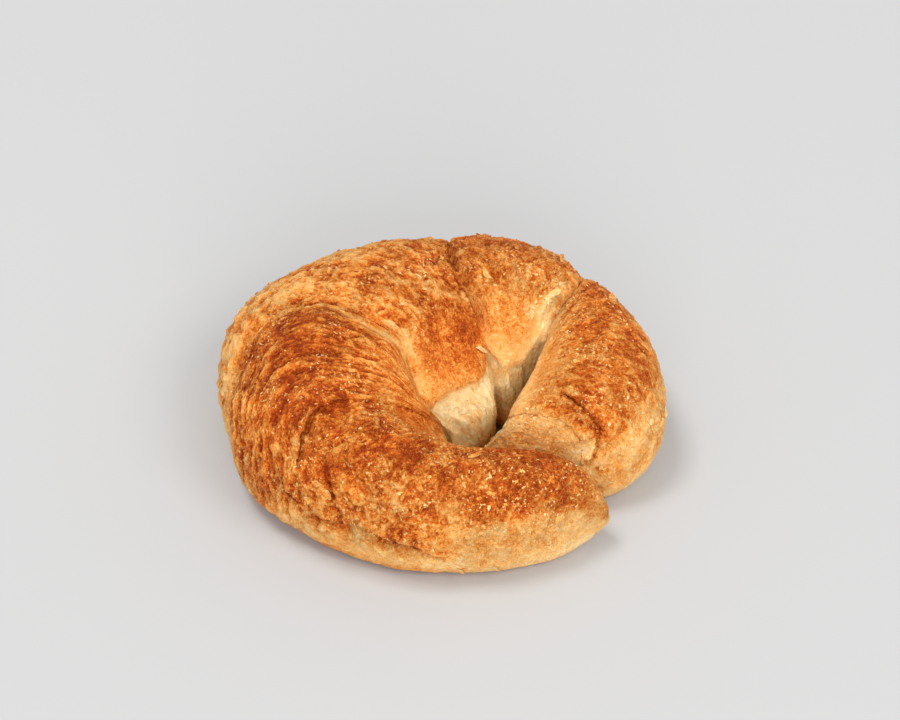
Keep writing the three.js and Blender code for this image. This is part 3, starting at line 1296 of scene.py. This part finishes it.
@dataclass
class LooseFlakes:
    """Thin flakes that have lifted from the crust, and smaller crumbs among them."""

    crust: Crust
    placed: tuple[Flake, ...] = (
        Flake(0.693, 55, 1.7, 1.7, 50, 0.25),
        Flake(0.700, 62, 1.1, 1.5, 35, 0.25),
        Flake(0.154, -26, 1.5, 1.5, 20, 0.0),
        Flake(0.149, -24, 0.9, 1.4, 30, -0.2),
        Flake(0.120, -24, 1.2, 1.6, 25, 0.0),
        Flake(0.560, 148, 1.7, 1.8, 40, 0.4),
    )
    flakes: int = 240
    crumbs: int = 900
    thickness: float = 0.10
    sides: int = 9
    seed: int = 5

    def scattered(self, chance: np.random.Generator) -> list[Flake]:
        """Flakes and crumbs at random, in clusters, where the crust is rough.

        Args:
            chance: The seeded source of chance.

        Returns:
            The flakes.
        """
        found = []
        grain = Grain(self.seed + 60)
        for count, radius, spread in ((self.flakes, 0.60, 0.35), (self.crumbs, 0.24, 0.35)):
            made = 0
            while made < count:
                share, degrees = chance.uniform(0.03, 0.97), chance.uniform(5, 128)
                # The last axis keeps flakes and crumbs apart, so each kind has its own clusters.
                spot = np.array([share * self.crust.roll.length, degrees * 0.4, radius * 90])
                if grain.layered(spot, 14.0, 2) + chance.uniform(-0.25, 0.25) < 0.12:
                    continue
                size = radius * math.exp(spread * chance.standard_normal())
                paler = chance.uniform(0.05, 0.35) if radius > 0.5 else chance.uniform(0.2, 0.7)
                found.append(Flake(share, degrees, size, chance.uniform(1.0, 2.4),
                                   chance.uniform(4, 28), paler))
                made += 1
        return found

    def spots(self, flakes: list[Flake]) -> list[tuple[Surface, tuple[int, int]]]:
        """Where each flake lies.

        Args:
            flakes: The flakes.

        Returns:
            The surface that each lies on, and the row and column of the nearest point there.
        """
        roll = self.crust.roll
        there = []
        for surface in self.crust.surfaces:
            there += [(surface, tuple(at)) for at in np.argwhere(surface.patch.closing > 0.999)[::2]]
        tree = nearest_of([roll.straight(surface.patch.share[at], surface.patch.angle[at])
                           for surface, at in there])
        found = []
        for flake in flakes:
            wanted = roll.straight(np.float64(flake.share), np.radians(flake.degrees))
            found.append(there[tree.find(wanted)[1]])
        return found

    def plate(self, heap: bmesh.types.BMesh, flake: Flake,
              chance: np.random.Generator) -> list[bmesh.types.BMVert]:
        """A thin closed plate with a ragged outline, bent across its length.

        Args:
            heap: The mesh that takes it.
            flake: The flake.
            chance: The seeded source of chance.

        Returns:
            Its vertices, round the origin and with its length along x.
        """
        made = bmesh.ops.create_circle(
            heap, cap_ends=True, segments=self.sides, radius=flake.radius
        )["verts"]
        bend = chance.uniform(0.05, 0.30) / flake.radius
        for vertex in made:
            vertex.co *= chance.uniform(0.42, 1.20)
            vertex.co.x *= flake.long
            vertex.co.z = bend * vertex.co.y**2 - 0.2 * bend * vertex.co.x**2
        middle = bmesh.ops.poke(heap, faces=[made[0].link_faces[0]])["verts"]
        plates = list({face for vertex in middle for face in vertex.link_faces})
        raised = bmesh.ops.extrude_face_region(heap, geom=plates)["geom"]
        top = [item for item in raised if isinstance(item, bmesh.types.BMVert)]
        thick = min(self.thickness, 0.35 * flake.radius)
        bmesh.ops.translate(heap, verts=top, vec=(0, 0, thick))
        return list({*made, *middle, *top})

    def build(self) -> bpy.types.Object:
        """Makes every flake as one mesh of small closed plates.

        Returns:
            The object, with no material yet.
        """
        chance = np.random.default_rng(self.seed)
        heap = bmesh.new()
        layer = heap.verts.layers.float.new(Layer.BAKE.value)
        flakes = [*self.placed, *self.scattered(chance)]
        for flake, (surface, index) in zip(flakes, self.spots(flakes)):
            if surface.rough[index] < 0.35 and flake not in self.placed:
                continue
            up = Vector(surface.normal[index]).normalized()
            around = Vector(surface.place[index[0], index[1] - 1] - surface.place[index])
            around = (around - up * up.dot(around)).normalized()
            turn = Matrix((around, up.cross(around), up)).transposed()
            spin = Matrix.Rotation(chance.normal(0.0, 0.6), 3, "Z")
            lean = Matrix.Rotation(math.radians(flake.tilt), 3, "X")
            rise = 0.45 * flake.radius * math.sin(math.radians(flake.tilt))
            centre = Vector(surface.place[index]) + up * rise
            # The flake takes the bake of the crust under it, painted shade included, made paler by its
            # own amount.
            bake = min(max(surface.bake[index], 0.3) - flake.paler, 0.95)
            for vertex in self.plate(heap, flake, chance):
                vertex[layer] = bake
                vertex.co = (turn @ (spin @ (lean @ vertex.co)) + centre) * MM
        bmesh.ops.recalc_face_normals(heap, faces=heap.faces)
        mesh = meshed("loose_flakes", heap)
        mesh.shade_flat()
        return linked("loose_flakes", mesh)


def settle(piece: bpy.types.Object, material: bpy.types.Material) -> None:
    """Dresses a finished piece, ties it to the body and reports it."""
    piece.data.materials.append(material)
    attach(piece, BODY)
    triangles = sum(len(polygon.vertices) - 2 for polygon in piece.data.polygons)
    LOG.info("%s: %d triangles", piece.name, triangles)


def main() -> None:
    """Builds the croissant and its studio."""
    logging.basicConfig(level=logging.INFO, format="%(name)s: %(message)s")
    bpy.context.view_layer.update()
    Studio().build()
    roll = Roll()
    finish = CrustFinish().make()
    crust = Crust(roll)
    for piece in crust.build():
        settle(piece, finish)
        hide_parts(NODE)
    settle(LooseFlakes(crust).build(), CrustFinish(name="loose_flake").make())


if __name__ == "__main__":
    main()
